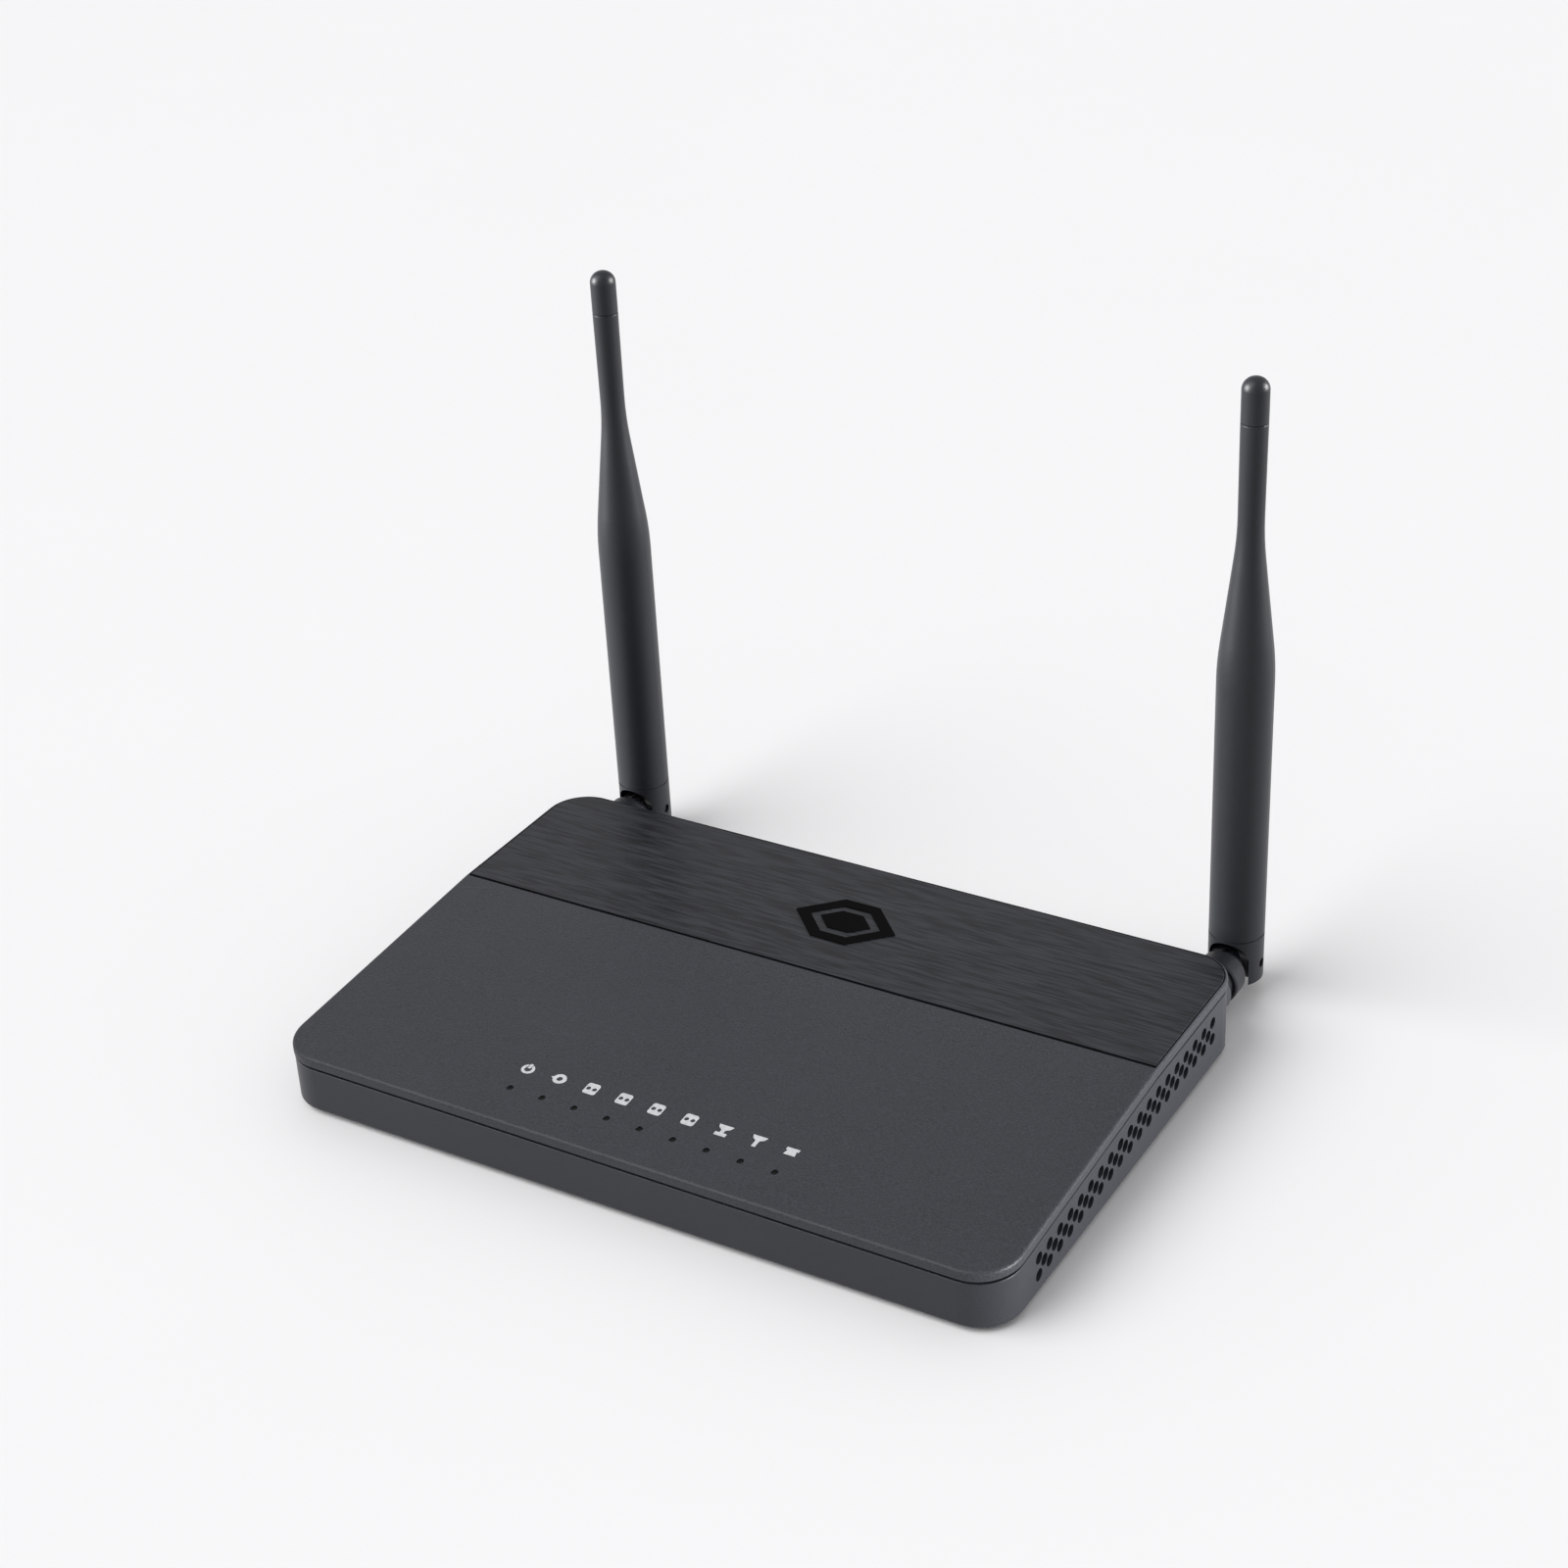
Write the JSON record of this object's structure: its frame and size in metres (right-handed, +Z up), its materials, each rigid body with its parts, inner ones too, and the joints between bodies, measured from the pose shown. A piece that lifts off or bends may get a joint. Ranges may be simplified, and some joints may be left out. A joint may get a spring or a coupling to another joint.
{
  "type": "optical network terminal",
  "caption": "Low charcoal case with a folded lid, brushed rear panel, front lamp row, side vents and folding antennas behind it.",
  "frame": {"origin": "bottom centre of the whole object's box, on the surface that the rubber feet stand on, antennas upright", "axes": "+X to the right along the width as seen from the front, +Y to the back where the sockets and antennas are, +Z up"},
  "size_m": [0.2, 0.16, 0.1674],
  "materials": {
    "case_plastic": "fine-grained moulded satin",
    "lid_plastic": "fine-grained moulded matt",
    "brushed_panel": "hairline brushed film on plastic",
    "mark_black": "flat black ink",
    "icon_ink": "printed ink",
    "light_guide": "smoked clear plastic",
    "lamp_body": "moulded lamp body",
    "board": "green solder mask",
    "screw_steel": "zinc plated",
    "foot_rubber": "matt moulded rubber",
    "shield_steel": "tin plated sheet",
    "sink_aluminium": "anodised, lightly blasted",
    "chip_black": "moulded package",
    "capacitor_can": "sleeved can",
    "contact_gold": "plated",
    "socket_plastic": "moulded nylon",
    "adapter_green": "moulded",
    "cap_plastic": "soft moulded",
    "pin_steel": "plain steel",
    "switch_body": "moulded",
    "button_plastic": "satin moulded",
    "antenna_plastic": "satin moulded",
    "lead_jacket": "extruded jacket"
  },
  "bodies": {
    "root": {"bottom_housing": "case_plastic", "top_cover": "lid_plastic", "brushed_top_panel": "brushed_panel", "badge": "mark_black", "indicator_icons": "icon_ink", "light_guides": "light_guide", "indicator_leds": "lamp_body", "circuit_board": "board", "board_screws": "screw_steel", "case_screws": "screw_steel", "rubber_feet": "foot_rubber", "radio_shield_left": "shield_steel", "radio_shield_right": "shield_steel", "heat_sink": "sink_aluminium", "main_chip": "chip_black", "capacitors": "capacitor_can", "network_transformers": "chip_black", "power_inductors": "chip_black", "lan_jack_contacts": "contact_gold", "phone_jack": "socket_plastic", "phone_jack_contacts": "contact_gold", "optical_adapter": "adapter_green", "optical_transceiver": "shield_steel", "power_inlet": "socket_plastic", "power_inlet_pin": "pin_steel", "power_switch": "switch_body", "wps_switch": "switch_body", "reset_switch": "switch_body", "lan_jack_1": "socket_plastic", "lan_jack_2": "socket_plastic", "lan_jack_3": "socket_plastic", "lan_jack_4": "socket_plastic", "antenna_lead_left": "lead_jacket", "antenna_lead_right": "lead_jacket"},
    "power_button": {"power_button": "button_plastic"},
    "wps_button": {"wps_button": "button_plastic"},
    "reset_button": {"reset_button": "button_plastic"},
    "dust_cap": {"optical_dust_cap": "cap_plastic"},
    "swivel_left": {"swivel_barrel_left": "antenna_plastic", "swivel_retainer_left": "pin_steel"},
    "antenna_left": {"antenna_foot_left": "antenna_plastic", "hinge_pin_left": "antenna_plastic", "antenna_radome_left": "antenna_plastic", "antenna_tip_left": "antenna_plastic", "antenna_radiator_left": "contact_gold"},
    "swivel_right": {"swivel_barrel_right": "antenna_plastic", "swivel_retainer_right": "pin_steel"},
    "antenna_right": {"antenna_foot_right": "antenna_plastic", "hinge_pin_right": "antenna_plastic", "antenna_radome_right": "antenna_plastic", "antenna_tip_right": "antenna_plastic", "antenna_radiator_right": "contact_gold"}
  },
  "joints": [
    {"name": "antenna_swivel_left", "type": "hinge", "parent": "root", "child": "swivel_left", "pos_m": [-0.09, 0.05575, 0.0092], "axis": [0, 1, 0], "range_deg": [-90, 90]},
    {"name": "antenna_tilt_left", "type": "hinge", "parent": "swivel_left", "child": "antenna_left", "pos_m": [-0.09, 0.07295, 0.0092], "axis": [-1, 0, 0], "range_deg": [0, 90]},
    {"name": "antenna_swivel_right", "type": "hinge", "parent": "root", "child": "swivel_right", "pos_m": [0.09, 0.05575, 0.0092], "axis": [0, 1, 0], "range_deg": [-90, 90]},
    {"name": "antenna_tilt_right", "type": "hinge", "parent": "swivel_right", "child": "antenna_right", "pos_m": [0.09, 0.07295, 0.0092], "axis": [-1, 0, 0], "range_deg": [0, 90]},
    {"name": "power_push", "type": "slide", "parent": "root", "child": "power_button", "axis": [0, -1, 0], "range_m": [0, 0.002], "stiffness_N_per_m": 800},
    {"name": "wps_push", "type": "slide", "parent": "root", "child": "wps_button", "axis": [0, -1, 0], "range_m": [0, 0.0008], "stiffness_N_per_m": 1500},
    {"name": "reset_push", "type": "slide", "parent": "root", "child": "reset_button", "axis": [0, -1, 0], "range_m": [0, 0.0005], "stiffness_N_per_m": 2000},
    {"name": "dust_cap_pull", "type": "slide", "parent": "root", "child": "dust_cap", "axis": [0, 1, 0], "range_m": [0, 0.012]}
  ]
}
